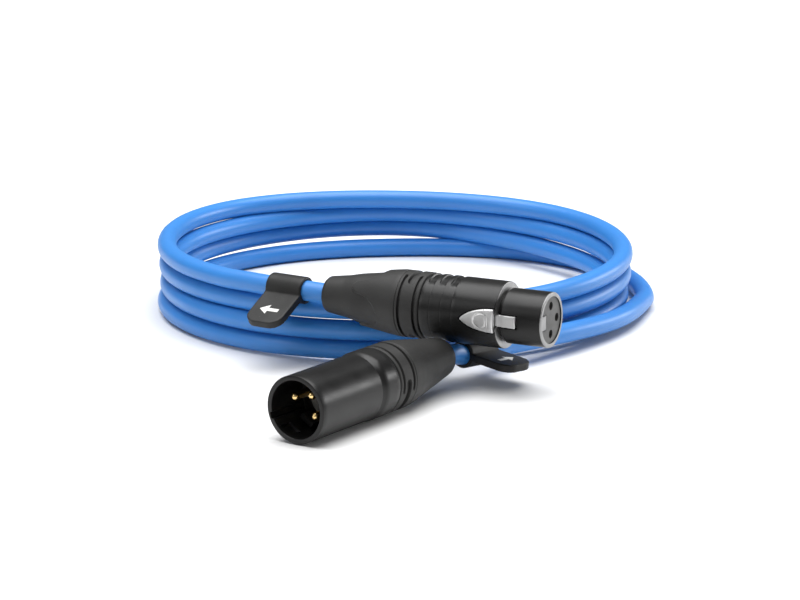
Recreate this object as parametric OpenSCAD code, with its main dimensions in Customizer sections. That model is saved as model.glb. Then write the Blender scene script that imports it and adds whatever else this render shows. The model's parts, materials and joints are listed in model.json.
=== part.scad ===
// Microphone cable with moulded XLR plugs, wound in a free-standing coil.
// Four turns stand on each other. The female plug lies on the coil's front,
// across the tail of the male plug, and a soft name tag rides on each tail.

/* [Cable] */
// Diameter of the cable's jacket
cable_d = 6.0; // [5:0.1:7]
// Diameter of one insulated core
core_d = 1.5; // [1.1:0.1:1.8]

/* [Male plug] */
// Outer diameter of the barrel
barrel_d = 19.0; // [17.5:0.1:20]
// Wall of the barrel round the pins
barrel_wall = 1.4; // [1:0.1:2]
// Depth from the rim to the face of the insert
cavity_depth = 14; // [12:0.5:17]
// Length from the rim to the rear edge of the shell
male_shell_len = 35.8; // [32:0.1:42]
// Diameter of a contact pin
pin_d = 2.4; // [2:0.1:2.6]
// Distance of the pin tips behind the rim
pin_setback = 3.5; // [1:0.5:6]

/* [Female plug] */
// Outer diameter of the nose that enters a male barrel
nose_d = 16.0; // [15:0.1:16.8]
// Wall of the nose round the insert
nose_wall = 1.2; // [1:0.1:1.8]
// Length of the nose up to the neck groove
nose_len = 12.4; // [11:0.1:14]
// Length from the face to the rear edge of the shell
female_shell_len = 37.6; // [35:0.1:44]
// Bore of a contact socket
socket_bore = 2.5; // [2.4:0.1:2.8]
// Angle that the latch turns when it is pressed
latch_travel = 4.3; // [2:0.1:5]

/* [Boot] */
// Diameter of the boot where it meets the shell
boot_d = 19.5; // [18.6:0.1:20.5]
// Diameter of the boot where the cable leaves it
boot_end_d = 10.8; // [10:0.1:12]
// Visible length of the boot
boot_len = 34; // [30:0.5:42]
// Diameter of the thread that holds the bushing in the shell
thread_d = 16.4; // [15.6:0.1:16.9]

/* [Tags] */
// Width of a tag along the cable
tag_w = 12; // [9:0.5:13]
// Reach of a tag from the cable's axis
tag_reach = 17.5; // [13:0.5:20]
// Thickness of a tag's flag
tag_t = 2.4; // [1.6:0.1:3.2]

/* [Hidden] */
$fn = 64;
eps = 0.05;

// Fits, all radial
slide_gap = 0.05;
seat_gap = 0.05;
cone_gap = 0.1;
bore_gap = 0.06;
latch_gap = 0.3;

cable_r = cable_d / 2;
tube_sides = 12;

// Everything is laid out round the coil's centre, and this brings the whole
// object's footprint to the origin
home = [-3.7, 39.3, 0];

// The wound turns, stretch by stretch: start and end angle from the right-hand side,
// inner and outer radius, height up to which the side is upright,
// and radius and height of the topmost turn's axis
coil_stretches = [[0, 90, 68, 83, 12, 73.2, 19.2], [90, 150, 69, 80, 14, 74.2, 20.4],
    [150, 225, 67.5, 75.6, 16, 72.1, 21.4], [225, 270, 66.8, 74, 11, 70.4, 16],
    [270, 360, 67.3, 74.8, 11, 71.2, 17.4]];
// Each stretch runs this far into the one before it
lap = 0.5;

// The two plugs: rim or face centre, and the heading from there to the boot
male_at = [-26.5, -156.4, 9.8];
male_heading = 55;
female_at = [44.6, -106, 22.2];
female_heading = 153.5;

// Axis of each tail, from inside its plug to the coil
tail_male_route = [[-5.6, -126.5, 9.8], [13.8, -98.8, 9.8], [17.3, -93.9, 9.1], [19.4, -91, 8.2],
    [27.4, -81.8, 7.4], [33, -75.6, 7.2], [40, -69.3, 7], [51.8, -57.5, 6.4], [61.8, -44.9, 5.5],
    [66.9, -37.1, 5.1], [71.7, -27.5, 4.7], [76.9, -10.9, 3.9], [79.2, 0, 3.5]];
tail_female_route = [[10.1, -88.8, 22.2], [-19.4, -74.1, 22.2], [-25.7, -71, 22.4],
    [-36.2, -64.4, 22.4], [-44, -58, 22.2], [-51.1, -51.1, 21.8]];
// Pieces of those routes that the tags sit on: index of the first point
male_tag_leg = 3;
female_tag_leg = 2;
// Turn of each flag about its cable, from straight down
male_flag_turn = 276;
female_flag_turn = 63;

// Turn of the key side about each plug's axis, from straight down
male_key = 33;
female_key = 90;
contact_ring_r = 4.1;
contact_turns = [90, 270, 180];
key_w = 4.4;

// Male plug
barrel_r = barrel_d / 2;
cavity_r = barrel_r - barrel_wall;
barrel_len = male_shell_len - 8.5;
collar_len = 6.8;
collar_r = barrel_r + 0.3;
thread_r = thread_d / 2;
rear_bore_r = thread_r + slide_gap;
insert_len = 10;
insert_r = rear_bore_r - seat_gap;
plateau_r = 5.2;
moat_depth = 2;
cup_len = 5;
cup_r = 1.4;
cup_bore_r = 0.9;
groove_turn = 38;
groove_w = 1.8;
groove_depth = 0.7;
latch_pocket = [3.8, 4.6, 0.7];
latch_pocket_from = 1.2;
key_len = 4;
key_h = 2;
rim_round = 0.3;

// Female plug, whose contacts mirror the male ones
nose_r = nose_d / 2;
insert_front_r = nose_r - nose_wall;
neck_len = 1.1;
neck_r = nose_r - 0.7;
body_r = boot_d / 2 - 0.05;
seat_at = nose_len + neck_len + 0.6;
female_insert_back = seat_at + insert_len;
grip_rings = [27.5, 30.8, 34.5];
grip_ring_w = 0.5;
grip_ring_depth = 0.25;
face_setback = 0.3;
lip_t = 1.6;
lip_depth = 3.3;
lip_w = 4.2;
socket_wall = 0.45;
socket_r = socket_bore / 2 + socket_wall;

// Latch, measured from the face along the axis and outward from the axis
hook_from = 7.9;
hook_to = 12.1;
hook_w = 3.4;
hook_r = nose_r + 0.2;
hook_floor = nose_r - 1.1;
button_from = 14.1;
button_to = 24.5;
button_w = 6.9;
button_r = body_r + 0.35;
button_floor = 8.7;
dimple_at = 17.6;
dimple_d = 3.8;
dimple_depth = 0.12;
// Room in front for the lever's tilt
tilt_slack = 0.2;
pivot_at = 26.4;
pivot_out = 5.6;
pivot_r = 0.7;
pivot_half = 6.5;
eye_w = 4.4;
eye_l = 3.2;
spring_wire_r = 0.22;
spring_r = 1.2;
spring_turns = 3;
spring_pitch = 0.6;

// Boot and bushing, measured back from the rear edge of the shell
spigot_len = 6.5;
core_bore_r = cable_r + 0.4;
chuck_front = -4.6;
core_wall = 1.2;
chuck_r = thread_r - core_wall;
chuck_cone_from = 3;
chuck_cone_to = 10.5;
chuck_tip_r = 4.2;
chuck_slit = 0.8;
core_len = 24;
core_tip_r = 4.8;
core_neck = 9;
boot_r = boot_d / 2;
boot_end_r = boot_end_d / 2;
slot_rows = [1.65, 6.5];
slot_row_w = 0.75;
slot_row_turn = 71;
window_at = 4.1;
window_w = 1.9;
window_turn = 38;

// Tag
tag_bore_r = cable_r + bore_gap;
tag_wall = 1;
tag_corner = 4;
tag_root = tag_bore_r + 0.4;

jacket_end = 36.3;
female_jacket_lag = 2;
core_r = core_d / 2;
core_bundle_r = 1.15;

// Shared shapes

// Puts a plug in its place: its own axis is +Z from the front to the boot
module at_male() {
    translate(home + male_at) rotate([0, 90, male_heading]) children();
}

module at_female() {
    translate(home + female_at) rotate([0, 90, female_heading]) children();
}

// Runs +Z along a straight leg of a route, starting at its first point
module on_leg(route, first) {
    a = route[first];
    d = route[first + 1] - a;
    translate(home + a) rotate([0, acos(d.z / norm(d)), atan2(d.y, d.x)]) children();
}

module tube(r_out, r_in, from, to) {
    difference() {
        translate([0, 0, from]) cylinder(r = r_out, h = to - from);
        translate([0, 0, from - eps]) cylinder(r = r_in, h = to - from + 2 * eps);
    }
}

// A round bar between two points
module bar(a, b, r) {
    d = b - a;
    translate(a) rotate([0, acos(d.z / norm(d)), atan2(d.y, d.x)]) cylinder(r = r, h = norm(d), $fn = 32);
}

function unit(v) = v / norm(v);
function leg_dir(p, i) =
    unit(p[min(i + 1, len(p) - 1)] - p[max(i - 1, 0)]);
function ring_at(p, i, r, sides) =
    let (t = leg_dir(p, i), s = unit(cross([0, 0, 1], t)), u = cross(t, s))
    [for (k = [0 : sides - 1]) p[i] + r * (cos(360 * k / sides) * s + sin(360 * k / sides) * u)];

// One closed tube whose rings stand on the points of a route
module sweep(p, r, sides) {
    n = len(p);
    rings = [for (i = [0 : n - 1]) each ring_at(p, i, r, sides)];
    walls = [for (i = [0 : n - 2], k = [0 : sides - 1])
        let (k2 = (k + 1) % sides)
        [i * sides + k, (i + 1) * sides + k, (i + 1) * sides + k2, i * sides + k2]];
    first_end = [[for (k = [0 : sides - 1]) k]];
    last_end = [[for (k = [sides - 1 : -1 : 0]) (n - 1) * sides + k]];
    polyhedron(points = rings, faces = concat(walls, first_end, last_end), convexity = 6);
}

// Cable

// Outer shape of the wound turns
module cable_coil() {
    color("dodgerblue") translate(home) for (s = coil_stretches) {
        into = s[0] > 0 ? lap : 0;
        crown = [s[5], s[6]];
        shoulder = cable_r * cos(45);
        rotate([0, 0, s[0] - into]) rotate_extrude(angle = s[1] - s[0] + into) polygon([
            [s[2], 1], [s[2] + 1, 0], [s[3] - 1, 0], [s[3], 1], [s[3], s[4]],
            crown + [cable_r, 0], crown + [shoulder, shoulder], crown + [0, cable_r],
            crown + [-shoulder, shoulder], [s[2], crown.y]]);
    }
}

module cable_tail_male() {
    color("dodgerblue") translate(home) sweep(tail_male_route, cable_r, tube_sides);
}

module cable_tail_female() {
    color("dodgerblue") translate(home) sweep(tail_female_route, cable_r, tube_sides);
}

// Parts that both plugs share

module contact_places(key) {
    for (t = contact_turns) rotate([0, 0, key + t]) translate([contact_ring_r, 0, 0]) children();
}

// Insulated core from a solder cup into the end of the jacket
module core(turn, from, to) {
    rotate([0, 0, turn]) bar([contact_ring_r, 0, from - 0.5], [core_bundle_r, 0, to], core_r);
}

module solder_cup(from) {
    difference() {
        translate([0, 0, from]) cylinder(r = cup_r, h = cup_len, $fn = 32);
        translate([0, 0, from + cup_len - 2.5]) cylinder(r = cup_bore_r, h = 3, $fn = 32);
    }
}

// Bent strip that joins contact 1 to the shell
module ground_tab(turn, from) {
    rotate([0, 0, turn - 18]) rotate_extrude(angle = 36)
        translate([rear_bore_r - 0.5, from]) square([0.5, 3]);
    rotate([0, 0, turn])
        translate([contact_ring_r + cup_r, -0.9, from + 0.4])
            cube([rear_bore_r - contact_ring_r - cup_r - 0.3, 1.8, 0.5]);
}

// Collet that grips the jacket
module chuck(rear) {
    difference() {
        translate([0, 0, rear]) rotate_extrude() polygon([
            [5.4, chuck_front], [chuck_r, chuck_front], [chuck_r, chuck_cone_from],
            [chuck_tip_r, chuck_cone_to], [chuck_tip_r, chuck_cone_to + 0.5],
            [cable_r + bore_gap, chuck_cone_to + 0.5], [cable_r + bore_gap, chuck_front + 3]]);
        for (turn = [0, 90]) rotate([0, 0, turn])
            translate([-chuck_r - 1, -chuck_slit / 2, rear + 1]) cube([2 * chuck_r + 2, chuck_slit, 12]);
    }
}

// Threaded core of the boot: screws into the shell and closes the chuck
module bushing(rear) {
    translate([0, 0, rear]) rotate_extrude() polygon([
        [chuck_r + cone_gap, -spigot_len], [thread_r, -spigot_len], [thread_r, core_neck],
        [core_tip_r, core_len - 3], [core_tip_r, core_len], [core_bore_r, core_len],
        [core_bore_r, chuck_cone_to + 1.5], [chuck_tip_r + cone_gap, chuck_cone_to + 1.5],
        [chuck_tip_r + cone_gap, chuck_cone_to], [chuck_r + cone_gap, chuck_cone_from]]);
}

// Ring sector that cuts a slot round the boot
module slot_cut(turn, half_turn, at, w) {
    rotate([0, 0, turn - half_turn]) rotate_extrude(angle = 2 * half_turn)
        translate([thread_r - 0.4, at - w / 2]) square([boot_r - thread_r + 1.4, w]);
}

// Soft sleeve over the bushing
module boot(rear, key) {
    difference() {
        translate([0, 0, rear]) rotate_extrude() polygon([
            [thread_r, 0.1], [boot_r - 0.3, 0.1], [boot_r, 0.4], [boot_r + 0.05, 9],
            [boot_r - 0.75, 13], [boot_end_r + 2.2, 0.6 * boot_len], [boot_end_r + 0.8, 0.8 * boot_len],
            [boot_end_r, boot_len - 1.5], [boot_end_r - 0.5, boot_len - 0.4], [boot_end_r - 1.1, boot_len],
            [core_bore_r, boot_len], [core_bore_r, core_len], [core_tip_r, core_len],
            [core_tip_r, core_len - 3], [thread_r, core_neck]]);
        for (side = [0, 180], at = slot_rows) slot_cut(key + side, slot_row_turn, rear + at, slot_row_w);
        for (side = [90, 270]) slot_cut(key + side, window_turn, rear + window_at, window_w);
    }
}

// Male plug

module male_shell() {
    color("black") at_male() difference() {
        rotate_extrude() polygon([
            [cavity_r, 0], [barrel_r - rim_round, 0], [barrel_r, rim_round], [barrel_r, barrel_len],
            [collar_r, male_shell_len - collar_len], [collar_r, male_shell_len - 0.5],
            [collar_r - 0.5, male_shell_len], [rear_bore_r, male_shell_len],
            [rear_bore_r, cavity_depth], [cavity_r, cavity_depth]]);
        rotate([0, 0, male_key + groove_turn]) translate([cavity_r - 1, -groove_w / 2, -eps])
            cube([groove_depth + 1, groove_w, cavity_depth]);
        rotate([0, 0, male_key]) translate([cavity_r - 1, -latch_pocket.x / 2, latch_pocket_from])
            cube([latch_pocket.z + 1, latch_pocket.x, latch_pocket.y]);
    }
}

module male_insert() {
    color("dimgray") at_male() difference() {
        union() {
            translate([0, 0, cavity_depth]) cylinder(r = insert_r, h = insert_len);
            rotate([0, 0, male_key]) translate([cavity_r - key_h, -key_w / 2, cavity_depth - key_len])
                cube([key_h - 0.5, key_w, key_len + eps]);
        }
        difference() {
            translate([0, 0, cavity_depth - eps]) cylinder(r = cavity_r - 0.4, h = moat_depth);
            translate([0, 0, cavity_depth - 1]) cylinder(r = plateau_r, h = moat_depth + 2);
            rotate([0, 0, male_key]) translate([cavity_r - key_h, -key_w / 2, cavity_depth - 1])
                cube([key_h, key_w, moat_depth + 2]);
        }
        contact_places(male_key) translate([0, 0, cavity_depth - 1])
            cylinder(r = pin_d / 2, h = insert_len + 2, $fn = 32);
    }
}

module male_pin(place) {
    pin_r = pin_d / 2;
    color("gold") at_male() rotate([0, 0, male_key + contact_turns[place]])
        translate([contact_ring_r, 0, 0]) {
        translate([0, 0, pin_setback + pin_r]) {
            sphere(r = pin_r, $fn = 32);
            cylinder(r = pin_r, h = cavity_depth + insert_len - pin_setback - pin_r, $fn = 32);
        }
        solder_cup(cavity_depth + insert_len);
    }
}

module male_ground_tab() {
    color("silver") at_male() ground_tab(male_key + contact_turns[0], cavity_depth + insert_len);
}

module male_core(place, tint) {
    color(tint) at_male()
        core(male_key + contact_turns[place], cavity_depth + insert_len + cup_len, jacket_end);
}

module male_chuck() {
    color("gray") at_male() chuck(male_shell_len);
}

module male_bushing() {
    color("dimgray") at_male() bushing(male_shell_len);
}

module male_boot() {
    color("dimgray") at_male() boot(male_shell_len, male_key);
}

// Female plug

// Pointed outline of the latch button, seen from outside, as a bar along the latch's direction
module button_bar(w, from, to, y_from, y_to) {
    widest = from + 1.4;
    arc_r = ((to - widest) * (to - widest) + w * w / 4) / w;
    intersection() {
        for (side = [-1, 1]) translate([-50, y_from, from]) cube([100, y_to - y_from, to - from]);
        translate([w / 2 - arc_r, y_from, widest]) rotate([-90, 0, 0])
            cylinder(r = arc_r, h = y_to - y_from, $fn = 96);
        translate([arc_r - w / 2, y_from, widest]) rotate([-90, 0, 0])
            cylinder(r = arc_r, h = y_to - y_from, $fn = 96);
    }
}

module pivot_bar(r) {
    translate([-pivot_half, pivot_out, pivot_at]) rotate([0, 90, 0])
        cylinder(r = r, h = 2 * pivot_half, $fn = 32);
}

module female_shell() {
    color("black") at_female() difference() {
        union() {
            rotate_extrude() polygon([
                [insert_front_r, 0], [nose_r - rim_round, 0], [nose_r, rim_round], [nose_r, nose_len],
                [neck_r, nose_len], [neck_r, nose_len + neck_len], [body_r - 0.3, nose_len + neck_len],
                [body_r, nose_len + neck_len + 0.3], [body_r, female_shell_len - 0.4],
                [body_r - 0.4, female_shell_len], [rear_bore_r, female_shell_len],
                [rear_bore_r, seat_at], [insert_front_r, seat_at]]);
            intersection() {
                translate([-lip_w / 2, insert_front_r - lip_depth, face_setback])
                    cube([lip_w, lip_depth + 0.3, lip_t]);
                cylinder(r = insert_front_r + 0.3, h = 10);
            }
        }
        for (at = grip_rings)
            tube(body_r + 1, body_r - grip_ring_depth, at - grip_ring_w / 2, at + grip_ring_w / 2);
        // Window for the hook, and the pocket that the button lies in
        translate([-hook_w / 2 - latch_gap, insert_front_r - 1, hook_from - latch_gap - tilt_slack])
            cube([hook_w + 2 * latch_gap, 4, button_from - hook_from + 1.2]);
        button_bar(button_w + 2 * latch_gap, button_from - latch_gap - tilt_slack,
            button_to + latch_gap, insert_front_r, body_r + 2);
        pivot_bar(pivot_r);
    }
}

module female_insert() {
    color("dimgray") at_female() difference() {
        union() {
            translate([0, 0, face_setback])
                cylinder(r = insert_front_r - seat_gap, h = seat_at - face_setback);
            translate([0, 0, seat_at]) cylinder(r = insert_r, h = insert_len);
        }
        contact_places(female_key) translate([0, 0, -1]) cylinder(r = socket_bore / 2, h = 3, $fn = 32);
        contact_places(female_key) translate([0, 0, 1.5])
            cylinder(r = socket_r, h = female_insert_back, $fn = 32);
        // Keyway at the face, the hook's well and the lever's channel
        translate([-lip_w / 2 - 0.2, insert_front_r - lip_depth - 0.3, -1])
            cube([lip_w + 0.4, lip_depth + 1, hook_from]);
        translate([-hook_w / 2 - 0.4, 5, hook_from - 1.5]) cube([hook_w + 0.8, 4, seat_at - hook_from + 2]);
        translate([-4, 6, seat_at - eps]) cube([8, 4, insert_len + 1]);
    }
}

module female_socket(place) {
    color("gold") at_female() rotate([0, 0, female_key - contact_turns[place]])
        translate([contact_ring_r, 0, 0]) {
        tube(socket_r, socket_bore / 2, 1.5, seat_at + 3);
        translate([0, 0, seat_at + 3]) cylinder(r = socket_r, h = insert_len - 3, $fn = 32);
        solder_cup(female_insert_back);
    }
}

module female_ground_tab() {
    color("silver") at_female() ground_tab(female_key - contact_turns[0], female_insert_back);
}

module female_core(place, tint) {
    color(tint) at_female()
        core(female_key - contact_turns[place], female_insert_back + cup_len, jacket_end + female_jacket_lag);
}

module female_chuck() {
    color("gray") at_female() chuck(female_shell_len);
}

module female_bushing() {
    color("dimgray") at_female() bushing(female_shell_len);
}

module female_boot() {
    color("dimgray") at_female() boot(female_shell_len, female_key);
}

// Lever: button outside, hook in front, eye on the pivot inside the shell
module latch() {
    color("silver") at_female() difference() {
        union() {
            intersection() {
                button_bar(button_w, button_from, button_to, 5, body_r + 2);
                tube(button_r, button_floor, button_from - 1, button_to + 1);
            }
            intersection() {
                translate([-hook_w / 2, hook_floor, hook_from]) cube([hook_w, 2, hook_to - hook_from]);
                cylinder(r = hook_r, h = 20);
            }
            translate([-hook_w / 2, hook_floor + 0.3, hook_to - eps]) cube([hook_w, 1.5, 2.5]);
            translate([-hook_w / 2, hook_floor + 0.3, button_from])
                cube([hook_w, button_floor - hook_floor, 3]);
            intersection() {
                union() {
                    translate([-eye_w / 2, 7.3, button_from + 3 - eps])
                        cube([eye_w, button_floor - 7, pivot_at - button_from - 2]);
                    translate([-eye_w / 2, pivot_out - 1.4, pivot_at - eye_l / 2]) cube([eye_w, 4, eye_l]);
                }
                union() {
                    cylinder(r = rear_bore_r - 0.15, h = 40);
                    button_bar(button_w - 1, button_from, button_to - 1, 5, button_floor + 0.3);
                }
            }
        }
        translate([0, button_r - dimple_depth, dimple_at]) rotate([-90, 0, 0])
            cylinder(d = dimple_d, h = 2, $fn = 48);
        translate([-10, pivot_out, pivot_at]) rotate([0, 90, 0])
            cylinder(r = pivot_r + slide_gap, h = 20, $fn = 32);
    }
}

module latch_pin() {
    color("silver") at_female() pivot_bar(pivot_r);
}

// Torsion spring wound round the pivot beside the eye
module latch_spring() {
    steps = 14;
    coil = [for (i = [0 : spring_turns * steps])
        let (a = 360 * i / steps)
        [eye_w / 2 + 0.4 + spring_pitch * i / steps, pivot_out + spring_r * cos(a),
            pivot_at + spring_r * sin(a)]];
    color("silver") at_female() sweep(coil, spring_wire_r, 8);
}

// Tags

function flag_corner(y, from) =
    [for (a = [from : 15 : from + 90]) [tag_reach - tag_corner + tag_corner * cos(a),
        y + tag_corner * sin(a)]];

module tag(turn, length) {
    from = (length - tag_w) / 2;
    difference() {
        union() {
            translate([0, 0, from]) cylinder(r = tag_bore_r + tag_wall, h = tag_w);
            rotate([0, 0, turn]) translate([0, tag_t / 2, from]) rotate([90, 0, 0]) linear_extrude(tag_t)
                polygon(concat([[tag_root, tag_w], [tag_root, 0]], flag_corner(tag_corner, -90),
                    flag_corner(tag_w - tag_corner, 0)));
        }
        translate([0, 0, -1]) cylinder(r = tag_bore_r, h = length + 2);
    }
}

module male_tag() {
    color("dimgray") on_leg(tail_male_route, male_tag_leg)
        tag(male_flag_turn, norm(tail_male_route[male_tag_leg + 1] - tail_male_route[male_tag_leg]));
}

module female_tag() {
    color("dimgray") on_leg(tail_female_route, female_tag_leg)
        tag(female_flag_turn,
            norm(tail_female_route[female_tag_leg + 1] - tail_female_route[female_tag_leg]));
}

cable_coil();
cable_tail_male();
cable_tail_female();
male_shell();
male_insert();
male_pin(0);  // male_pin_1
male_pin(1);  // male_pin_2
male_pin(2);  // male_pin_3
male_ground_tab();
male_core(0, "khaki");  // male_core_1
male_core(1, "red");  // male_core_2
male_core(2, "white");  // male_core_3
male_chuck();
male_bushing();
male_boot();
female_shell();
female_insert();
female_socket(0);  // female_socket_1
female_socket(1);  // female_socket_2
female_socket(2);  // female_socket_3
female_ground_tab();
female_core(0, "khaki");  // female_core_1
female_core(1, "red");  // female_core_2
female_core(2, "white");  // female_core_3
female_chuck();
female_bushing();
female_boot();
latch();
latch_pin();
latch_spring();
male_tag();
female_tag();
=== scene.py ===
import json
import math

import bpy
from mathutils import Matrix, Vector


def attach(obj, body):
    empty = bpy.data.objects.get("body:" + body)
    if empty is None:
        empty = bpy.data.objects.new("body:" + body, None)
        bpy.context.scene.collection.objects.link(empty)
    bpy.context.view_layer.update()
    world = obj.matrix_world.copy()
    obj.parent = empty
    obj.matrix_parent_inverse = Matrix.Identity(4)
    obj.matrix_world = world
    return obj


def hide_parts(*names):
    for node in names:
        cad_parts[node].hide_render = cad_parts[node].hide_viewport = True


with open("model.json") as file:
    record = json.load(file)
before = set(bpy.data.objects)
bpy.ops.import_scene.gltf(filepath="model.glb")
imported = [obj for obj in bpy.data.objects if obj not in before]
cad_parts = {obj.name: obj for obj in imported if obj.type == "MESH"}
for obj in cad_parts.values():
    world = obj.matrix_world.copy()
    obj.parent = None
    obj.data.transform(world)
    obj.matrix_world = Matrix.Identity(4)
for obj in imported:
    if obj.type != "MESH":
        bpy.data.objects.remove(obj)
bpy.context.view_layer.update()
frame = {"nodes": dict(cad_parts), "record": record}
mm = 0.001
mounts = {m["name"]: m for m in frame["record"]["mounts"]}


# Places that the frame gives


def plugPlace(mountName):
    # local +Z runs from the plug's front to its boot, and local +X points down
    mount = mounts[mountName]
    along = -Vector(mount["axis"]).normalized()
    down = Vector((0, 0, -1))
    across = along.cross(down)
    place = Matrix((down, across, along)).transposed().to_4x4()
    place.translation = Vector(mount["pos_m"])
    return place


malePlace = plugPlace("male_mouth")
femalePlace = plugPlace("female_face")
maleRimFromCoil = Vector((-26.5, -156.4, 9.8)) * mm
coilCentre = malePlace.translation - maleRimFromCoil
maleKey = math.radians(33)
femaleKey = math.radians(90)


# Camera

view = dict(pitch=math.radians(13.6), distance=1.0, lens=141.75, sensor=36, look=Vector((1.6, 0, 2.4)) * mm)


def addCamera():
    data = bpy.data.cameras.new("camera")
    data.lens = view["lens"]
    data.sensor_width = view["sensor"]
    camera = bpy.data.objects.new("camera", data)
    bpy.context.scene.collection.objects.link(camera)
    forward = Vector((0, math.cos(view["pitch"]), -math.sin(view["pitch"])))
    camera.location = coilCentre + view["look"] - view["distance"] * forward
    camera.rotation_euler = forward.to_track_quat("-Z", "Y").to_euler()
    bpy.context.scene.camera = camera


addCamera()
print("stage: camera")


# Shader node groups


def newGroup(name, inputs, outputs):
    group = bpy.data.node_groups.new(name, "ShaderNodeTree")
    for label, kind, value in inputs:
        socket = group.interface.new_socket(label, in_out="INPUT", socket_type=kind)
        if value is not None:
            socket.default_value = value
    for label, kind in outputs:
        group.interface.new_socket(label, in_out="OUTPUT", socket_type=kind)
    return group, group.nodes.new("NodeGroupInput"), group.nodes.new("NodeGroupOutput")


def noiseNode(tree, scale, detail, roughness=0.5):
    node = tree.nodes.new("ShaderNodeTexNoise")
    node.inputs["Scale"].default_value = scale
    node.inputs["Detail"].default_value = detail
    node.inputs["Roughness"].default_value = roughness
    return node


def rampNode(tree, low, high):
    node = tree.nodes.new("ShaderNodeMapRange")
    node.inputs["From Min"].default_value = low
    node.inputs["From Max"].default_value = high
    node.clamp = True
    return node


def mathNode(tree, operation, a=None, b=None):
    node = tree.nodes.new("ShaderNodeMath")
    node.operation = operation
    if a is not None:
        node.inputs[0].default_value = a
    if b is not None:
        node.inputs[1].default_value = b
    return node


def makeGrainGroup():
    # fine moulded or blasted grain, as a normal and a value from 0 to 1
    group, start, end = newGroup(
        "surfaceGrain",
        [("Scale", "NodeSocketFloat", 2500.0), ("Depth", "NodeSocketFloat", 0.00003)],
        [("Normal", "NodeSocketVector"), ("Grain", "NodeSocketFloat")],
    )
    links = group.links
    coords = group.nodes.new("ShaderNodeTexCoord")
    grain = noiseNode(group, 1, 3, 0.6)
    bump = group.nodes.new("ShaderNodeBump")
    links.new(coords.outputs["Object"], grain.inputs["Vector"])
    links.new(start.outputs["Scale"], grain.inputs["Scale"])
    links.new(start.outputs["Depth"], bump.inputs["Distance"])
    links.new(grain.outputs["Fac"], bump.inputs["Height"])
    links.new(bump.outputs["Normal"], end.inputs["Normal"])
    links.new(grain.outputs["Fac"], end.inputs["Grain"])
    return group


def makeHandlingGroup():
    # broad smudges and sparse specks of dust, each from 0 to 1
    group, start, end = newGroup(
        "handlingMarks",
        [("Smudge Scale", "NodeSocketFloat", 90.0), ("Dust Scale", "NodeSocketFloat", 900.0)],
        [("Smudge", "NodeSocketFloat"), ("Dust", "NodeSocketFloat")],
    )
    links = group.links
    coords = group.nodes.new("ShaderNodeTexCoord")
    smudge = noiseNode(group, 1, 4, 0.55)
    smudgeRange = rampNode(group, 0.38, 0.68)
    dust = noiseNode(group, 1, 2, 0.5)
    dustRange = rampNode(group, 0.70, 0.76)
    for node, scale in ((smudge, "Smudge Scale"), (dust, "Dust Scale")):
        links.new(coords.outputs["Object"], node.inputs["Vector"])
        links.new(start.outputs[scale], node.inputs["Scale"])
    links.new(smudge.outputs["Fac"], smudgeRange.inputs["Value"])
    links.new(dust.outputs["Fac"], dustRange.inputs["Value"])
    links.new(smudgeRange.outputs["Result"], end.inputs["Smudge"])
    links.new(dustRange.outputs["Result"], end.inputs["Dust"])
    return group


surfaceGrain = makeGrainGroup()
handlingMarks = makeHandlingGroup()


def groupNode(tree, group, **values):
    node = tree.nodes.new("ShaderNodeGroup")
    node.node_tree = group
    for label, value in values.items():
        node.inputs[label.replace("_", " ")].default_value = value
    return node


def mixColour(tree, first, second):
    node = tree.nodes.new("ShaderNodeMix")
    node.data_type = "RGBA"
    node.inputs["A"].default_value = (*first, 1)
    node.inputs["B"].default_value = (*second, 1)
    return node


def makeMaterial(name, look):
    # a moulded or machined surface: grain, smudges that change its gloss, and a little dust
    material = bpy.data.materials.new(name)
    material.use_nodes = True
    tree = material.node_tree
    links = tree.links
    shader = tree.nodes["Principled BSDF"]
    shader.inputs["Metallic"].default_value = look.get("metallic", 0)
    shader.inputs["IOR"].default_value = look.get("ior", 1.5)
    shader.inputs["Coat Weight"].default_value = look.get("coat", 0)
    shader.inputs["Coat Roughness"].default_value = look.get("coatRoughness", 0.2)
    shader.inputs["Subsurface Weight"].default_value = look.get("scatter", 0)
    shader.inputs["Subsurface Scale"].default_value = mm
    grain = groupNode(tree, surfaceGrain, Scale=look["grainScale"], Depth=look["grainDepth"])
    marks = groupNode(
        tree, handlingMarks, Smudge_Scale=look["smudgeScale"], Dust_Scale=look.get("dustScale", 900))
    tint = mixColour(tree, look["colour"], look["shade"])
    dusted = mixColour(tree, (0, 0, 0), look.get("dustColour", (0.35, 0.35, 0.34)))
    dustAmount = mathNode(tree, "MULTIPLY", b=look["dust"])
    gloss = tree.nodes.new("ShaderNodeMapRange")
    gloss.inputs["To Min"].default_value = look["roughness"]
    gloss.inputs["To Max"].default_value = look["roughness"] + look["smudge"]
    links.new(marks.outputs["Smudge"], tint.inputs["Factor"])
    links.new(marks.outputs["Dust"], dustAmount.inputs[0])
    links.new(dustAmount.outputs["Value"], dusted.inputs["Factor"])
    links.new(tint.outputs["Result"], dusted.inputs["A"])
    links.new(marks.outputs["Smudge"], gloss.inputs["Value"])
    links.new(dusted.outputs["Result"], shader.inputs["Base Color"])
    links.new(gloss.outputs["Result"], shader.inputs["Roughness"])
    links.new(grain.outputs["Normal"], shader.inputs["Normal"])
    return material


# Mesh helpers, all in a plug's own frame and in millimetres


def finish(name, verts, faces, bands, materials, place, sharp=40):
    mesh = bpy.data.meshes.new(name)
    mesh.from_pydata([place @ (Vector(v) * mm) for v in verts], [], faces)
    for material in materials:
        mesh.materials.append(material)
    mesh.polygons.foreach_set("material_index", bands)
    mesh.polygons.foreach_set("use_smooth", [True] * len(faces))
    mesh.set_sharp_from_angle(angle=math.radians(sharp))
    mesh.update()
    piece = bpy.data.objects.new(name, mesh)
    bpy.context.scene.collection.objects.link(piece)
    return piece


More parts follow.
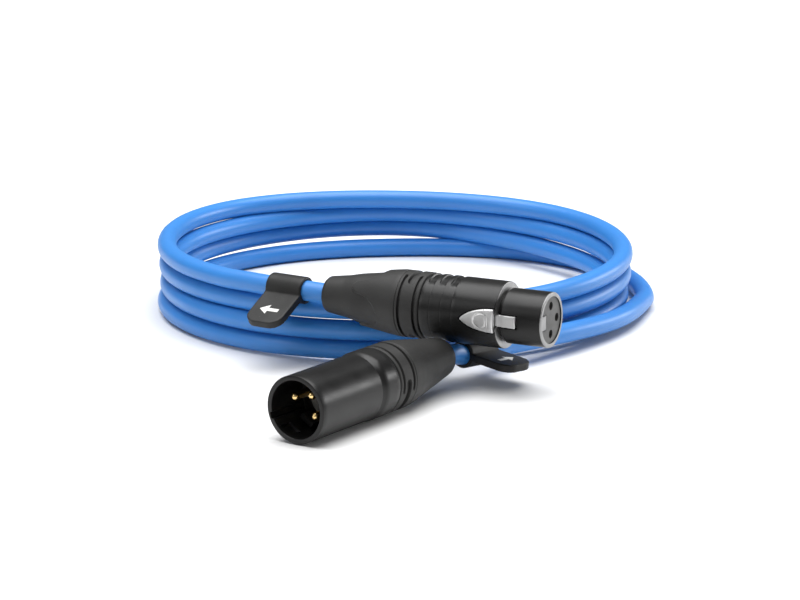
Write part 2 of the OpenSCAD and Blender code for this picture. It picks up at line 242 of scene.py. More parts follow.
def turned(name, rings, materials, place, dent=None, sides=240, sharp=40):
    # a closed body of revolution; a ring is (along, radius, band), band picks the material, and dent
    # gives how far the skin sinks, except on rings whose band is -1
    verts = []
    for along, radius, band in rings:
        for k in range(sides):
            angle = 2 * math.pi * k / sides
            sink = dent(along, angle, radius) if dent and band >= 0 else 0
            r = radius - sink
            verts.append((r * math.cos(angle), r * math.sin(angle), along))
    faces = []
    bands = []
    for i in range(len(rings)):
        j = (i + 1) % len(rings)
        for k in range(sides):
            n = (k + 1) % sides
            faces.append((i * sides + k, i * sides + n, j * sides + n, j * sides + k))
            bands.append(max(rings[i][2], 0) if rings[j][2] >= 0 else max(rings[j][2], 0))
    return finish(name, verts, faces, bands, materials, place, sharp)


def joinRows(base, rows, count):
    # quads between neighbouring rows of count corners each
    faces = []
    for i in range(rows - 1):
        near, far = base + i * count, base + (i + 1) * count
        faces += [(near + k, near + (k + 1) % count, far + (k + 1) % count, far + k) for k in range(count)]
    return faces


def prismFaces(count):
    # two ends and the sides between them, for count corners at each end
    faces = [tuple(range(count)), tuple(reversed(range(count, 2 * count)))]
    return faces + [(k, k + count, (k + 1) % count + count, (k + 1) % count) for k in range(count)]


def stepUp(value, low, high):
    # 0 below low and 1 above high, with a smooth rise between
    u = min(max((value - low) / (high - low), 0), 1)
    return u * u * (3 - 2 * u)


def spread(start, end, step):
    # evenly spaced values from start to end, about a step apart
    count = max(1, round(abs(end - start) / step))
    return [start + (end - start) * i / count for i in range(count + 1)]


def between(points, value):
    # piecewise linear value of a list of (position, value)
    for (a, va), (b, vb) in zip(points, points[1:]):
        if value <= b:
            return va + (vb - va) * max(value - a, 0) / (b - a)
    return points[-1][1]


def turnFrom(angle, centre):
    # the signed turn from centre to angle, the short way round
    return (angle - centre + math.pi) % (2 * math.pi) - math.pi


def arcGroove(along, angle, radius, centre, halfTurn, at, width):
    # 1 inside a long slot with round ends that runs round a body, 0 outside
    past = max(abs(turnFrom(angle, centre)) - halfTurn, 0) * radius
    distance = math.hypot(past, along - at) - width / 2
    return 1 - stepUp(distance, -0.1, 0.1)


# The cable

cableLook = dict(
    colour=(0.030, 0.208, 0.59), shade=(0.027, 0.190, 0.545), roughness=0.40, smudge=0.08,
    grainScale=1600, grainDepth=0.000012, smudgeScale=45, dustScale=1300, dust=0.06,
    dustColour=(0.15, 0.30, 0.5), coat=0.12, coatRoughness=0.35, scatter=0.04, ior=1.48,
)
cable = dict(diameter=6.0, ringStep=1.4, sides=24, smoothSteps=24)
# the coil's radius and height at every eighth of a turn, as the turns lie on each other
turnRadii = [
    79.2, 81.5, 74, 74, 72.2, 70.4, 69.8, 70.2, 71, 73, 79.2, 77, 71.4, 71.2, 71, 70.3,
    71.8, 73.8, 76.8, 74.6, 71.6, 70.5, 70.3, 70.9, 72.2, 74.6, 72.8, 76.4, 72, 72.2,
]
turnHeights = [
    3.5, 3, 3, 3, 3, 3.4, 4.2, 4.9, 5.7, 7.2, 8.9, 8.9, 9, 9.7, 10.4, 11.3,
    12.2, 13.3, 14.5, 14.8, 15, 15.7, 16.5, 17.4, 18.3, 19.1, 19.9, 20.5, 21.1, 21.8,
]
eighth = 45
coilStep = 15
# the loose ends: from inside the male boot to the coil, and from the coil to inside the female boot
maleRoute = [
    (-2.4, -122.0, 9.8), (5.7, -110.4, 9.8), (13.8, -98.8, 9.8), (17.3, -93.9, 9.1), (19.4, -91, 8.2),
    (27.4, -81.8, 7.4), (33, -75.6, 7.2), (40, -69.3, 7), (51.8, -57.5, 6.4), (61.8, -44.9, 5.5),
    (66.9, -37.1, 5.1), (71.7, -27.5, 4.7), (76.9, -10.9, 3.9), (79.2, 0, 3.5),
]
femaleRoute = [
    (-51.1, -51.1, 21.8), (-44, -58, 22.2), (-36.2, -64.4, 22.4), (-25.7, -71, 22.4), (-19.4, -74.1, 22.2),
    (-4.6, -81.5, 22.2), (10.1, -88.8, 22.2),
]


def smoothValue(values, position):
    # Catmull-Rom through evenly spaced values
    i = min(int(position), len(values) - 2)
    u = position - i
    a, b, c, d = (values[min(max(i + k, 0), len(values) - 1)] for k in (-1, 0, 1, 2))
    return b + 0.5 * u * (c - a + u * (2 * a - 5 * b + 4 * c - d + u * (3 * (b - c) + d - a)))


def coilPoint(degrees):
    radius = smoothValue(turnRadii, degrees / eighth)
    height = max(smoothValue(turnHeights, degrees / eighth), cable["diameter"] / 2)
    angle = math.radians(degrees)
    return Vector((radius * math.cos(angle), radius * math.sin(angle), height))


def cableLine():
    last = (len(turnRadii) - 1) * eighth
    points = [Vector(p) for p in maleRoute]
    points += [coilPoint(d) for d in range(coilStep, last, coilStep)]
    points += [Vector(p) for p in femaleRoute]
    return [coilCentre + p * mm for p in points]


def smoothLine(points, step):
    # centripetal Catmull-Rom, then points an even step apart
    dense = []
    for i in range(len(points) - 1):
        p0 = points[i - 1] if i else 2 * points[0] - points[1]
        p3 = points[i + 2] if i + 2 < len(points) else 2 * points[-1] - points[-2]
        p1, p2 = points[i], points[i + 1]
        t1 = math.sqrt((p1 - p0).length)
        t2 = t1 + math.sqrt((p2 - p1).length)
        t3 = t2 + math.sqrt((p3 - p2).length)
        for k in range(cable["smoothSteps"]):
            t = t1 + (t2 - t1) * k / cable["smoothSteps"]
            a1 = p0.lerp(p1, t / t1)
            a2 = p1.lerp(p2, (t - t1) / (t2 - t1))
            a3 = p2.lerp(p3, (t - t2) / (t3 - t2))
            b1 = a1.lerp(a2, t / t2)
            b2 = a2.lerp(a3, (t - t1) / (t3 - t1))
            dense.append(b1.lerp(b2, (t - t1) / (t2 - t1)))
    dense.append(points[-1].copy())
    travelled = [0]
    for a, b in zip(dense, dense[1:]):
        travelled.append(travelled[-1] + (b - a).length)
    count = round(travelled[-1] / step)
    line = []
    i = 0
    for k in range(count + 1):
        wanted = travelled[-1] * k / count
        while i < len(dense) - 2 and travelled[i + 1] < wanted:
            i += 1
        share = (wanted - travelled[i]) / (travelled[i + 1] - travelled[i])
        line.append(dense[i].lerp(dense[i + 1], share))
    return line, travelled[-1]


def makeTubeTree():
    tree = bpy.data.node_groups.new("tubeAlongLine", "GeometryNodeTree")
    inputs = [
        ("Geometry", "NodeSocketGeometry"), ("Radius", "NodeSocketFloat"), ("Sides", "NodeSocketInt"),
        ("Material", "NodeSocketMaterial"),
    ]
    for label, kind in inputs:
        tree.interface.new_socket(label, in_out="INPUT", socket_type=kind)
    tree.interface.new_socket("Geometry", in_out="OUTPUT", socket_type="NodeSocketGeometry")
    start = tree.nodes.new("NodeGroupInput")
    end = tree.nodes.new("NodeGroupOutput")
    toCurve = tree.nodes.new("GeometryNodeMeshToCurve")
    circle = tree.nodes.new("GeometryNodeCurvePrimitiveCircle")
    toMesh = tree.nodes.new("GeometryNodeCurveToMesh")
    toMesh.inputs["Fill Caps"].default_value = True
    smooth = tree.nodes.new("GeometryNodeSetShadeSmooth")
    realize = tree.nodes.new("GeometryNodeRealizeInstances")
    paint = tree.nodes.new("GeometryNodeSetMaterial")
    links = tree.links
    links.new(start.outputs["Geometry"], toCurve.inputs["Mesh"])
    links.new(start.outputs["Sides"], circle.inputs["Resolution"])
    links.new(start.outputs["Radius"], circle.inputs["Radius"])
    links.new(toCurve.outputs["Curve"], toMesh.inputs["Curve"])
    links.new(circle.outputs["Curve"], toMesh.inputs["Profile Curve"])
    links.new(toMesh.outputs["Mesh"], smooth.inputs["Geometry"])
    links.new(smooth.outputs["Geometry"], realize.inputs["Geometry"])
    links.new(realize.outputs["Geometry"], paint.inputs["Geometry"])
    links.new(start.outputs["Material"], paint.inputs["Material"])
    links.new(paint.outputs["Geometry"], end.inputs["Geometry"])
    return tree


tubeTree = makeTubeTree()


def tubeAlong(name, line, radius, sides, material):
    mesh = bpy.data.meshes.new(name)
    mesh.from_pydata(line, [(i, i + 1) for i in range(len(line) - 1)], [])
    piece = bpy.data.objects.new(name, mesh)
    bpy.context.scene.collection.objects.link(piece)
    modifier = piece.modifiers.new("tube", "NODES")
    modifier.node_group = tubeTree
    sockets = {s.name: s.identifier for s in tubeTree.interface.items_tree if s.in_out == "INPUT"}
    modifier[sockets["Radius"]] = radius
    modifier[sockets["Sides"]] = sides
    modifier[sockets["Material"]] = material
    bpy.context.view_layer.update()
    evaluated = piece.evaluated_get(bpy.context.evaluated_depsgraph_get())
    plain = bpy.data.meshes.new_from_object(evaluated)
    plain.name = name
    piece.modifiers.clear()
    piece.data = plain
    return piece


def addCable():
    material = makeMaterial("jacket", cableLook)
    line, length = smoothLine(cableLine(), cable["ringStep"] * mm)
    piece = tubeAlong("cable", line, cable["diameter"] / 2 * mm, cable["sides"], material)
    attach(piece, "cable")
    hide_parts("cable_coil", "cable_tail_male", "cable_tail_female")
    return piece, line, length


cablePiece, cableCentres, cableLength = addCable()
print("stage: cable,", round(cableLength, 4), "m")


# Shells

blackPaint = dict(
    colour=(0.0035, 0.0035, 0.0036), shade=(0.005, 0.005, 0.005), roughness=0.30, smudge=0.08,
    grainScale=3200, grainDepth=0.000010, smudgeScale=120, dustScale=1700, dust=0.03, ior=1.38,
)
bareMetal = dict(
    colour=(0.30, 0.30, 0.30), shade=(0.25, 0.25, 0.255), roughness=0.42, smudge=0.10,
    grainScale=2600, grainDepth=0.00001, smudgeScale=160, metallic=1.0, dust=0.05,
)
darkPlastic = dict(
    colour=(0.012, 0.012, 0.0115), shade=(0.009, 0.009, 0.009), roughness=0.38, smudge=0.08,
    grainScale=3000, grainDepth=0.00001, smudgeScale=200, dust=0.04,
)
paleDisc = dict(
    colour=(0.045, 0.045, 0.044), shade=(0.036, 0.036, 0.035), roughness=0.42, smudge=0.08,
    grainScale=3000, grainDepth=0.00001, smudgeScale=220, dust=0.06,
)
blackMaterial = makeMaterial("satinBlack", blackPaint)
metalMaterial = makeMaterial("satinNickel", bareMetal)
darkMaterial = makeMaterial("insertDark", darkPlastic)
paleMaterial = makeMaterial("insertFace", paleDisc)
brightDisc = dict(paleDisc, colour=(0.16, 0.16, 0.155), shade=(0.13, 0.13, 0.125))
discMaterial = makeMaterial("insertMiddle", brightDisc)

male = dict(
    barrel=9.5, bore=8.1, barrelEnd=27.3, step=29.0, collar=9.8, rear=35.8, rearBore=8.25, floor=14.0,
    channelTurn=math.radians(38), channelWidth=1.8, channelDepth=0.7,
    pocketWidth=3.8, pocketFrom=1.2, pocketTo=5.8, pocketDepth=0.7,
)


def addMaleShell():
    m = male
    outer = [(0, m["barrel"] - 0.14, 0), (0.05, m["barrel"] - 0.04, 0), (0.16, m["barrel"], 0)]
    outer += [(z, m["barrel"], 0) for z in spread(2, m["barrelEnd"], 3)]
    outer += [(m["barrelEnd"] + 0.05, m["barrel"] - 0.12, 0), (m["step"] - 0.1, m["collar"] - 0.1, 0)]
    outer += [(z, m["collar"], 0) for z in spread(m["step"] + 0.1, m["rear"] - 0.55, 1.5)]
    outer += [(m["rear"] - 0.5, m["collar"] - 0.02, 1), (m["rear"] - 0.05, m["collar"] - 0.45, 1)]
    outer += [(m["rear"], m["collar"] - 0.7, 0), (m["rear"], m["rearBore"], 0)]
    outer += [(m["floor"], m["rearBore"], 0)]
    inner = [(z, m["bore"], 0) for z in spread(m["floor"], m["pocketTo"] + 0.4, 1.5)]
    inner += [(z, m["bore"], 0) for z in spread(m["pocketTo"] + 0.2, m["pocketFrom"] - 0.2, 0.12)]
    inner += [(z, m["bore"], 0) for z in spread(m["pocketFrom"] - 0.3, 0.4, 0.2)]
    inner += [(0.1, m["bore"] + 0.02, 0), (0, m["bore"] + 0.12, 0)]

    def dent(along, angle, radius):
        if radius > m["bore"] + 0.3 or along >= m["floor"]:
            return 0
        side = abs(turnFrom(angle, maleKey + m["channelTurn"])) * radius
        channel = 1 - stepUp(side, m["channelWidth"] / 2 - 0.1, m["channelWidth"] / 2 + 0.1)
        across = abs(turnFrom(angle, maleKey)) * radius - m["pocketWidth"] / 2
        past = max(m["pocketFrom"] - along, along - m["pocketTo"])
        pocket = 1 - stepUp(max(across, past), -0.1, 0.1)
        return -max(m["channelDepth"] * channel, m["pocketDepth"] * pocket)

    piece = turned("maleShell", outer + inner, [blackMaterial, metalMaterial], malePlace, dent, 360)
    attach(piece, "cable")
    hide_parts("male_shell")
    return piece


maleShell = addMaleShell()

female = dict(
    insert=6.8, nose=8.0, noseEnd=12.4, neck=7.3, neckEnd=13.5, body=9.7, rear=37.6, rearBore=8.25,
    seat=14.1, grips=(27.3, 30.8, 34.3), gripWidth=2.2, gripDepth=0.5, gripTurn=math.radians(40),
    hookHalf=2.05, hookFrom=7.4, buttonFrom=14.1, buttonTo=24.5, buttonWidth=6.9, gap=0.3,
)


def buttonHalf(along, grow=0.0):
    # half the latch button's width at a place along the plug: square in front, pointed behind
    f = female
    start, end = f["buttonFrom"] - grow, f["buttonTo"] + grow
    half = f["buttonWidth"] / 2 + grow
    if along < start or along > end:
        return 0
    reach = (along - start) / (end - start)
    return half * max(1 - reach ** 2.3, 0) ** 0.8


def addFemaleShell():
    f = female
    # band 1 puts satin nickel on the nose rim and its rounded edge: partly the bare metal rim, partly a
    # painted reflection of the right-hand light on black paint
    rings = [(0.0, f["insert"], 1), (0.0, f["nose"] - 0.3, 1), (0.1, f["nose"] - 0.1, 1), (0.3, f["nose"], 0)]
    rings += [(z, f["nose"], 0) for z in spread(0.6, f["hookFrom"] - 0.3, 2)]
    rings += [(z, f["nose"], 0) for z in spread(f["hookFrom"] - 0.15, f["hookFrom"] + 0.3, 0.1)]
    rings += [(z, f["nose"], 0) for z in spread(f["hookFrom"] + 0.5, f["noseEnd"] - 0.15, 1)]
    # the shoulder rings in band 1 take the same nickel, partly bare metal and partly a painted reflection of
    # the right-hand light
    rings += [(f["noseEnd"], f["nose"] - 0.15, 0), (f["noseEnd"], f["neck"], 0), (f["neckEnd"], f["neck"], 1)]
    rings += [(f["neckEnd"], f["body"] - 0.35, 1), (f["neckEnd"] + 0.1, f["body"] - 0.1, 0)]
    rings += [(z, f["body"], 0) for z in spread(f["neckEnd"] + 0.3, f["buttonTo"] + 0.6, 0.15)]
    rings += [(z, f["body"], 0) for z in spread(f["buttonTo"] + 0.8, f["grips"][0] - 0.2, 1)]
    lastGrip = f["grips"][-1] + f["gripWidth"]
    rings += [(z, f["body"], 0) for z in spread(f["grips"][0] - 0.1, lastGrip + 0.2, 0.12)]
    rings += [(f["rear"] - 0.15, f["body"] - 0.1, 0), (f["rear"], f["body"] - 0.35, 0)]
    rings += [(f["rear"], f["rearBore"], 0), (f["seat"], f["rearBore"], 0), (f["seat"], f["insert"], 0)]

    def dent(along, angle, radius):
        if radius < f["neck"] - 0.1 or radius == f["rearBore"] or along <= 0.3:
            return 0
        across = abs(turnFrom(angle, femaleKey)) * radius
        sink = 0
        if along <= f["buttonFrom"] + 1:
            past = max(across - f["hookHalf"], f["hookFrom"] - along)
            sink = (1 - stepUp(past, -0.08, 0.08)) * max(radius - f["insert"] - 0.1, 0)
        if along > f["neckEnd"] + 0.05:
            room = buttonHalf(along, f["gap"])
            inside = 1 - stepUp(across - room, -0.08, 0.08) if room > 0 else 0
            sink = max(sink, inside * 1.3)
        for at in f["grips"] if along > f["buttonTo"] else ():
            # a fine line all round, and a finger notch behind it above and below
            sink = max(sink, 0.035 * (1 - stepUp(abs(along - at), 0.04, 0.16)))
            away = min(abs(turnFrom(angle, femaleKey + side * math.pi / 2)) for side in (-1, 1))
            beyond = stepUp(f["gripTurn"] - away, 0, 0.35)
            middle = at + f["gripWidth"] / 2
            notch = 1 - stepUp(abs(along - middle) - f["gripWidth"] / 2, -0.2, 0.05)
            sink = max(sink, f["gripDepth"] * beyond * notch)
        return sink

    piece = turned("femaleShell", rings, [blackMaterial, metalMaterial], femalePlace, dent, 360)
    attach(piece, "cable")
    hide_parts("female_shell")


addFemaleShell()

# bright key in the female plug's face, and the paler middle of the male plug's floor
lip = dict(half=2.1, inner=3.6, outer=6.95, front=0.12, back=1.8, edge=0.15)
faceDisc = dict(radius=5.15, front=13.9, back=14.2)


def addLip():
    n = lip
    rows = []
    for z, cut in ((n["front"], n["edge"]), (n["front"] + n["edge"], 0), (n["back"], 0)):
        half = n["half"] - cut
        inner = n["inner"] + cut
        rows.append([(-half, inner, z), (half, inner, z), (half, n["outer"], z), (-half, n["outer"], z)])
    verts = [v for row in rows for v in row]
    faces = [(3, 2, 1, 0), (8, 9, 10, 11)] + joinRows(0, len(rows), 4)
    piece = finish("femaleLip", verts, faces, [0] * len(faces), [metalMaterial], femalePlace, 30)
    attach(piece, "cable")


def addFaceDisc():
    d = faceDisc
    rings = [(d["front"], 0.01, 0), (d["front"], d["radius"] - 0.1, 0), (d["front"] + 0.1, d["radius"], 0)]
    rings += [(d["back"], d["radius"], 0), (d["back"], 0.01, 0)]
    piece = turned("maleFaceDisc", rings, [discMaterial], malePlace, None, 96)
    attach(piece, "cable")


addLip()
addFaceDisc()
print("stage: shells")


# Boots

bootLook = dict(
    colour=(0.0145, 0.0142, 0.0138), shade=(0.012, 0.0118, 0.0115), roughness=0.52, smudge=0.10,
    grainScale=2400, grainDepth=0.00003, smudgeScale=100, dustScale=1500, dust=0.06, ior=1.45,
)
bootMaterial = makeMaterial("bootRubber", bootLook)
boot = dict(
    length=34.0, taperEnd=32.8, bore=3.4, outer=9.75,
    rows=(1.65, 6.45), rowWidth=0.75, rowTurn=math.radians(69), rowDepth=0.75,
    window=4.05, windowWidth=1.9, windowTurn=math.radians(34), windowDepth=1.0, seam=7.65, seamDepth=0.18,
)
maleOutline = [(0, 9.75), (9, 9.75), (12, 9.4), (20.4, 7.85), (27, 6.7), (31, 6.0), (32.8, 5.6)]
femaleOutline = [(0, 9.8), (9, 9.8), (12, 9.45), (16, 8.85), (22.8, 7.85), (26.9, 6.95), (32.8, 6.1)]
scoop = dict(
    centres=[math.radians(a) for a in (-21, -141, 99)], spacing=math.radians(60), start=14.0, tip=22.8,
    ridgeHalf=math.radians(14), tipRound=1.6, depth=0.7, edge=0.35, spread=8.0,
)


def scoopSink(offset, angle, key):
    # how much of the scoop depth is cut away here: nothing on a ridge, all of it past the ridge tips
    s = scoop
    if offset < s["start"]:
        return 0
    away = min(abs(turnFrom(angle, key + c)) for c in s["centres"])
    u = min((offset - s["start"]) / (s["tip"] - s["start"]), 1)
    half = (s["spacing"] - s["ridgeHalf"]) * math.sqrt(1 - (1 - u) ** 2)
    ridge = s["spacing"] - half
    closing = max(offset - (s["tip"] - s["tipRound"]), 0) / s["tipRound"]
    ridge *= math.sqrt(max(1 - closing ** 2, 0))
    edge = (s["spacing"] - away - ridge) * s["spread"]
    return stepUp(edge, -s["edge"], s["edge"]) if closing < 1 else 1


def addBoot(name, place, rear, key, outline, scooped, body):
    # slots in two rows and a window on each side, a seam, and on one boot the scoops
    b = boot
    step = 0.3 if scooped else 0.8
    grooved = b["seam"] + 0.6
    outer = [(0.1, b["outer"] - 0.4), (0.2, b["outer"] - 0.15)]
    outer += [(z, between(outline, z)) for z in spread(0.4, grooved, 0.11)]
    outer += [(z, between(outline, z)) for z in spread(grooved + 0.3, b["taperEnd"], step)]
    tip = outer[-1][1]
    end = b["length"]
    outer += [(end - 0.7, tip - 0.25), (end - 0.3, tip - 0.6), (end - 0.07, tip - 1.0), (end, tip - 1.4)]
    rings = [(rear + z, r, 0) for z, r in outer]
    rings += [(rear + end, b["bore"], -1), (rear + 0.1, b["bore"], -1)]

    def dent(along, angle, radius):
        offset = along - rear
        sink = 0
        if offset < grooved:
            for side in (0, math.pi):
                for row in b["rows"]:
                    inside = arcGroove(offset, angle, radius, key + side, b["rowTurn"], row, b["rowWidth"])
                    sink = max(sink, inside * b["rowDepth"])
                middle = key + side + math.pi / 2
                inside = arcGroove(
                    offset, angle, radius, middle, b["windowTurn"], b["window"], b["windowWidth"])
                sink = max(sink, inside * b["windowDepth"])
            sink = max(sink, b["seamDepth"] * (1 - stepUp(abs(offset - b["seam"]), 0.05, 0.2)))
        if scooped:
            sink += scoop["depth"] * scoopSink(offset, angle, key)
        return sink

    piece = turned(name, rings, [bootMaterial], place, dent, 300)
    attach(piece, body)
    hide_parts(body)
    return piece


maleBoot = addBoot("maleBoot", malePlace, male["rear"], maleKey, maleOutline, False, "male_boot")
addBoot("femaleBoot", femalePlace, female["rear"], femaleKey, femaleOutline, True, "female_boot")
print("stage: boots")


# Name tags

tagLook = dict(
    colour=(0.010, 0.010, 0.0096), shade=(0.008, 0.008, 0.0078), roughness=0.50, smudge=0.10,
    grainScale=2200, grainDepth=0.00002, smudgeScale=120, dustScale=1500, dust=0.06, ior=1.4,
)
printLook = dict(
    colour=(0.72, 0.72, 0.70), shade=(0.62, 0.62, 0.60), roughness=0.5, smudge=0.1,
    grainScale=3000, grainDepth=0.00001, smudgeScale=700, dust=0.05,
)
tagMaterial = makeMaterial("tagRubber", tagLook)
printMaterial = makeMaterial("tagPrint", printLook)
tag = dict(
    width=12.3, reach=17.4, thick=2.3, corner=4.0, cornerStep=9, bore=3.0, wall=1.05, edge=0.3, root=0.5,
    voxel=0.22, sides=96, relax=8,
)


def tagPlace(leg):
    # local +Z runs along this leg of the cable, and local +X points as nearly down as it can
    a, b = (coilCentre + Vector(p) * mm for p in leg)
    along = (b - a).normalized()
    down = Vector((0, 0, -1))
    across = along.cross(down).normalized()
    down = across.cross(along)
    place = Matrix((down, across, along)).transposed().to_4x4()
    place.translation = (a + b) / 2
    return place


def flagOutline():
    # a square root at the loop and two round corners at the free end
    t = tag
    half = t["width"] / 2
    root = t["bore"] + t["root"]
    outline = [(root, half), (root, -half)]
    for sign, first in ((-1, -90), (1, 0)):
        middle = t["reach"] - t["corner"]
        side = sign * (half - t["corner"])
        for step in range(0, 91, t["cornerStep"]):
            a = math.radians(first + step)
            outline.append((middle + t["corner"] * math.cos(a), side + t["corner"] * math.sin(a)))
    return outline


def turnOutward(piece):
    bpy.context.view_layer.objects.active = piece
    bpy.ops.object.mode_set(mode="EDIT")
    bpy.ops.mesh.select_all(action="SELECT")
    bpy.ops.mesh.remove_doubles(threshold=0.000005)
    bpy.ops.mesh.normals_make_consistent(inside=False)
    bpy.ops.object.mode_set(mode="OBJECT")


def addTag(name, leg, turn, body):
    # the loop round the cable and the flag, grown into one soft piece
    t = tag
    half = t["width"] / 2
    skin = t["bore"] + t["wall"]
    place = tagPlace(leg)
    rings = [(-half, t["bore"], 0), (-half, skin - t["edge"], 0), (-half + t["edge"], skin, 0)]
    rings += [(half - t["edge"], skin, 0), (half, skin - t["edge"], 0), (half, t["bore"], 0)]
    loop = turned(name, rings, [tagMaterial], place, None, t["sides"])
    outline = flagOutline()
    spin = Matrix.Rotation(turn, 4, "Z")
    verts = [(r, side * t["thick"] / 2, z) for side in (-1, 1) for r, z in outline]
    faces = prismFaces(len(outline))
    flag = finish(name + "Flag", verts, faces, [0] * len(faces), [tagMaterial], place @ spin)
    bpy.ops.object.select_all(action="DESELECT")
    for piece in (loop, flag):
        piece.select_set(True)
    bpy.context.view_layer.objects.active = loop
    bpy.ops.object.join()
    turnOutward(loop)
    remesh = loop.modifiers.new("remesh", "REMESH")
    remesh.mode = "VOXEL"
    remesh.voxel_size = t["voxel"] * mm
    remesh.use_smooth_shade = True
    relax = loop.modifiers.new("relax", "SMOOTH")
    relax.factor = 0.5
    relax.iterations = t["relax"]
    bpy.ops.object.modifier_apply(modifier="remesh")
    bpy.ops.object.modifier_apply(modifier="relax")
    loop.select_set(False)
    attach(loop, body)
    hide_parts(body)
    return place @ spin


arrow = dict(shaft=3.6, shaftHalf=0.65, head=2.9, headHalf=2.0, lift=0.03, sunk=0.25, centre=11.6)


def addArrow(name, place, face, body):
    # printed arrow along the signal's way, lying on one face of the flag
    a = arrow
    y = face * (tag["thick"] / 2 + a["lift"])
    depth = face * a["sunk"]
    tail = -(a["shaft"] + a["head"]) / 2
    neck = tail + a["shaft"]
    tip = neck + a["head"]
    outline = [
        (-a["shaftHalf"], tail), (a["shaftHalf"], tail), (a["shaftHalf"], neck), (a["headHalf"], neck),
        (0, tip), (-a["headHalf"], neck), (-a["shaftHalf"], neck),
    ]
    verts = [(a["centre"] + r, y - (depth if low else 0), z) for low in (0, 1) for r, z in outline]
    faces = prismFaces(len(outline))
    if face > 0:
        faces = [tuple(reversed(f)) for f in faces]
    piece = finish(name, verts, faces, [0] * len(faces), [printMaterial], place)
    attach(piece, body)


maleTagLeg = (maleRoute[4], maleRoute[5])
femaleTagLeg = (femaleRoute[3], femaleRoute[2])
maleFlagPlace = addTag("maleTag", maleTagLeg, math.radians(276), "male_tag")
femaleFlagPlace = addTag("femaleTag", femaleTagLeg, math.radians(63), "female_tag")
addArrow("femaleArrow", femaleFlagPlace, 1, "female_tag")
addArrow("maleArrow", maleFlagPlace, -1, "male_tag")
print("stage: tags")


# Latch

latchLook = dict(
    colour=(0.60, 0.60, 0.60), shade=(0.55, 0.55, 0.555), roughness=0.38, smudge=0.05,
    grainScale=2600, grainDepth=0.000006, smudgeScale=220, metallic=0.75, dust=0.03,
)
latchMaterial = makeMaterial("latchNickel", latchLook)
latch = dict(
    top=10.05, floor=8.7, dimpleAt=17.8, dimple=2.15, ringWidth=0.35, ringDepth=0.16, flatFrom=0.93, rows=24,
    barHalf=1.7, hookTop=8.2, hookFloor=6.95, hookFrom=7.9, hookTo=12.1, tongue=0.9, tongueFrom=12.0,
    tongueTo=14.6, bevel=0.15,
)


def latchBar(verts, high, start, end):
    # a bar with bevelled edges and a slightly crowned top; returns its faces and adds its corners to verts
    n = latch
    half, low, bevel = n["barHalf"], n["hookFloor"], n["bevel"]
    soft = 0.2
    base = len(verts)
    for z in (start, start + bevel, end - bevel, end):
        shrink = bevel if z in (start, end) else 0
        top = high - shrink
        verts += [(-half + shrink, low, z), (half - shrink, low, z), (half, high - soft, z)]
        verts += [(half - soft, top, z), (0, top + soft / 2, z), (-half + soft, top, z)]
        verts.append((-half, high - soft, z))
    faces = [tuple(base + k for k in range(7)), tuple(base + 21 + k for k in reversed(range(7)))]
    return faces + joinRows(base, 4, 7)


def addLatch():
    f = female
    n = latch
    edge = [(buttonHalf(z), z) for z in spread(f["buttonFrom"], f["buttonTo"], 0.2)]
    outline = [(0.0, f["buttonFrom"])] + edge + [(-x, z) for x, z in reversed(edge) if x > 0]
    count = len(outline)
    layers = [(1.0, n["floor"] - n["top"]), (1.0, -0.35), (0.97, -0.12), (n["flatFrom"], -0.02)]
    layers += [(row / n["rows"], 0) for row in range(n["rows"] - 2, 0, -1)]
    verts = []
    for share, lift in layers:
        for x, z in outline:
            px, pz = x * share, n["dimpleAt"] + (z - n["dimpleAt"]) * share
            ring = abs(math.hypot(px, pz - n["dimpleAt"]) - n["dimple"])
            inFlat = share < n["flatFrom"]
            low = n["ringDepth"] * (1 - stepUp(ring, 0.05, n["ringWidth"])) if inFlat else 0
            r = n["top"] + lift - low
            verts.append((-px, math.sqrt(max(r * r - px * px, 0)), pz))
    centre = len(verts)
    verts.append((0, n["top"], n["dimpleAt"]))
    last = (len(layers) - 1) * count
    faces = [tuple(range(count))] + joinRows(0, len(layers), count)
    faces += [(last + (k + 1) % count, last + k, centre) for k in range(count)]
    # the hook in the nose, and the tongue that joins it to the button
    faces += latchBar(verts, n["hookTop"], n["hookFrom"], n["hookTo"])
    faces += latchBar(verts, n["hookFloor"] + n["tongue"], n["tongueFrom"], n["tongueTo"])
    piece = finish("latchButton", verts, faces, [0] * len(faces), [latchMaterial], femalePlace, 35)
    bpy.ops.object.select_all(action="DESELECT")
    piece.select_set(True)
    turnOutward(piece)
    piece.select_set(False)
    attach(piece, "latch")
    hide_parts("latch")


addLatch()
print("stage: latch")


# The CAD's own nodes that stay in view

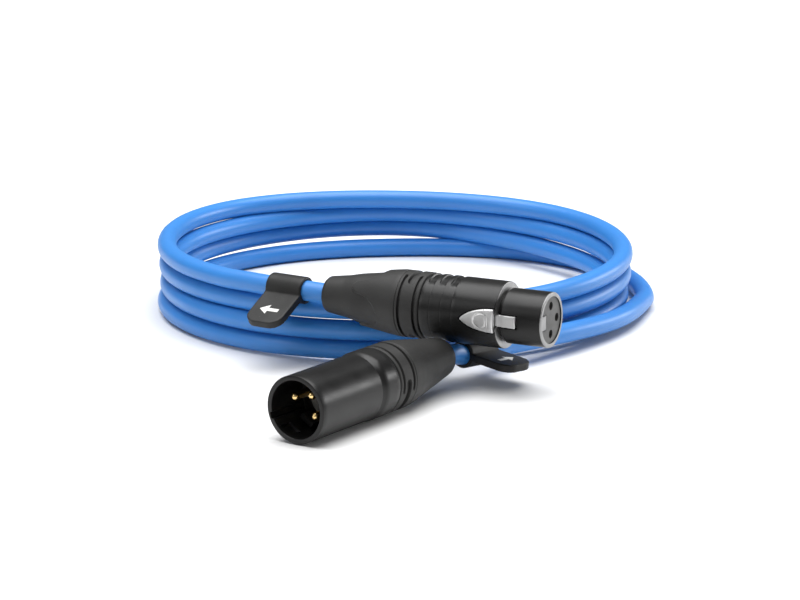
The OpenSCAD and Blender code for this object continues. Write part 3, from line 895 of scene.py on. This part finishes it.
goldLook = dict(
    colour=(0.85, 0.62, 0.28), shade=(0.80, 0.57, 0.25), roughness=0.18, smudge=0.10,
    grainScale=2500, grainDepth=0.000004, smudgeScale=300, metallic=1.0, dust=0.03,
)
innerColours = {
    "core_screen": (0.60, 0.45, 0.22), "core_red": (0.50, 0.03, 0.02), "core_white": (0.75, 0.75, 0.72),
    "chuck": (0.20, 0.20, 0.20), "bushing": (0.05, 0.05, 0.05),
}
goldMaterial = makeMaterial("goldPlate", goldLook)
slotMaterials = {
    "male_insert": darkMaterial, "female_insert": paleMaterial,
    "contact": goldMaterial, "steel": metalMaterial,
}
for slot, colour in innerColours.items():
    look = dict(darkPlastic, colour=colour, shade=tuple(0.85 * c for c in colour))
    slotMaterials[slot] = makeMaterial(slot, look)


def paintNodes():
    slots = {s["node"]: s["material_slot"] for s in frame["record"]["subparts"]}
    for name, node in frame["nodes"].items():
        material = slotMaterials.get(slots[name])
        if material is None or node.type != "MESH":
            continue
        node.data.materials.clear()
        node.data.materials.append(material)


paintNodes()
print("stage: inner parts")


# Floor and light

floorLook = dict(
    colour=(0.80, 0.80, 0.80), shade=(0.79, 0.79, 0.79), roughness=0.55, smudge=0.04,
    grainScale=400, grainDepth=0.00001, smudgeScale=12, dust=0,
)


def addStage():
    mesh = bpy.data.meshes.new("floor")
    reach = 3.0
    corners = [(-reach, -reach, 0), (reach, -reach, 0), (reach, reach, 0), (-reach, reach, 0)]
    mesh.from_pydata([Vector(c) for c in corners], [], [(0, 1, 2, 3)])
    mesh.materials.append(makeMaterial("floorPale", floorLook))
    floor = bpy.data.objects.new("floor", mesh)
    bpy.context.scene.collection.objects.link(floor)


def addLight(name, place, size, power, target):
    data = bpy.data.lights.new(name, "AREA")
    data.shape = "RECTANGLE"
    data.size, data.size_y = size
    data.energy = power
    light = bpy.data.objects.new(name, data)
    bpy.context.scene.collection.objects.link(light)
    light.location = coilCentre + Vector(place)
    light.rotation_euler = (coilCentre + Vector(target) - light.location).to_track_quat("-Z", "Y").to_euler()


def addLights():
    world = bpy.data.worlds.new("world")
    world.use_nodes = True
    world.node_tree.nodes["Background"].inputs["Color"].default_value = (1, 1, 1, 1)
    world.node_tree.nodes["Background"].inputs["Strength"].default_value = 0.17
    bpy.context.scene.world = world
    bpy.context.scene.view_settings.view_transform = "Standard"
    addLight("overhead", (0.0, 0.1, 1.9), (2.6, 2.2), 92, (0, 0.1, 0))
    addLight("rightBox", (1.3, 0.55, 0.36), (0.9, 0.22), 8, (0, -0.05, 0))
    addLight("leftBox", (-1.2, -0.6, 0.7), (0.5, 0.6), 3, (0, -0.05, 0))


addStage()
addLights()
print("stage: floor and light")
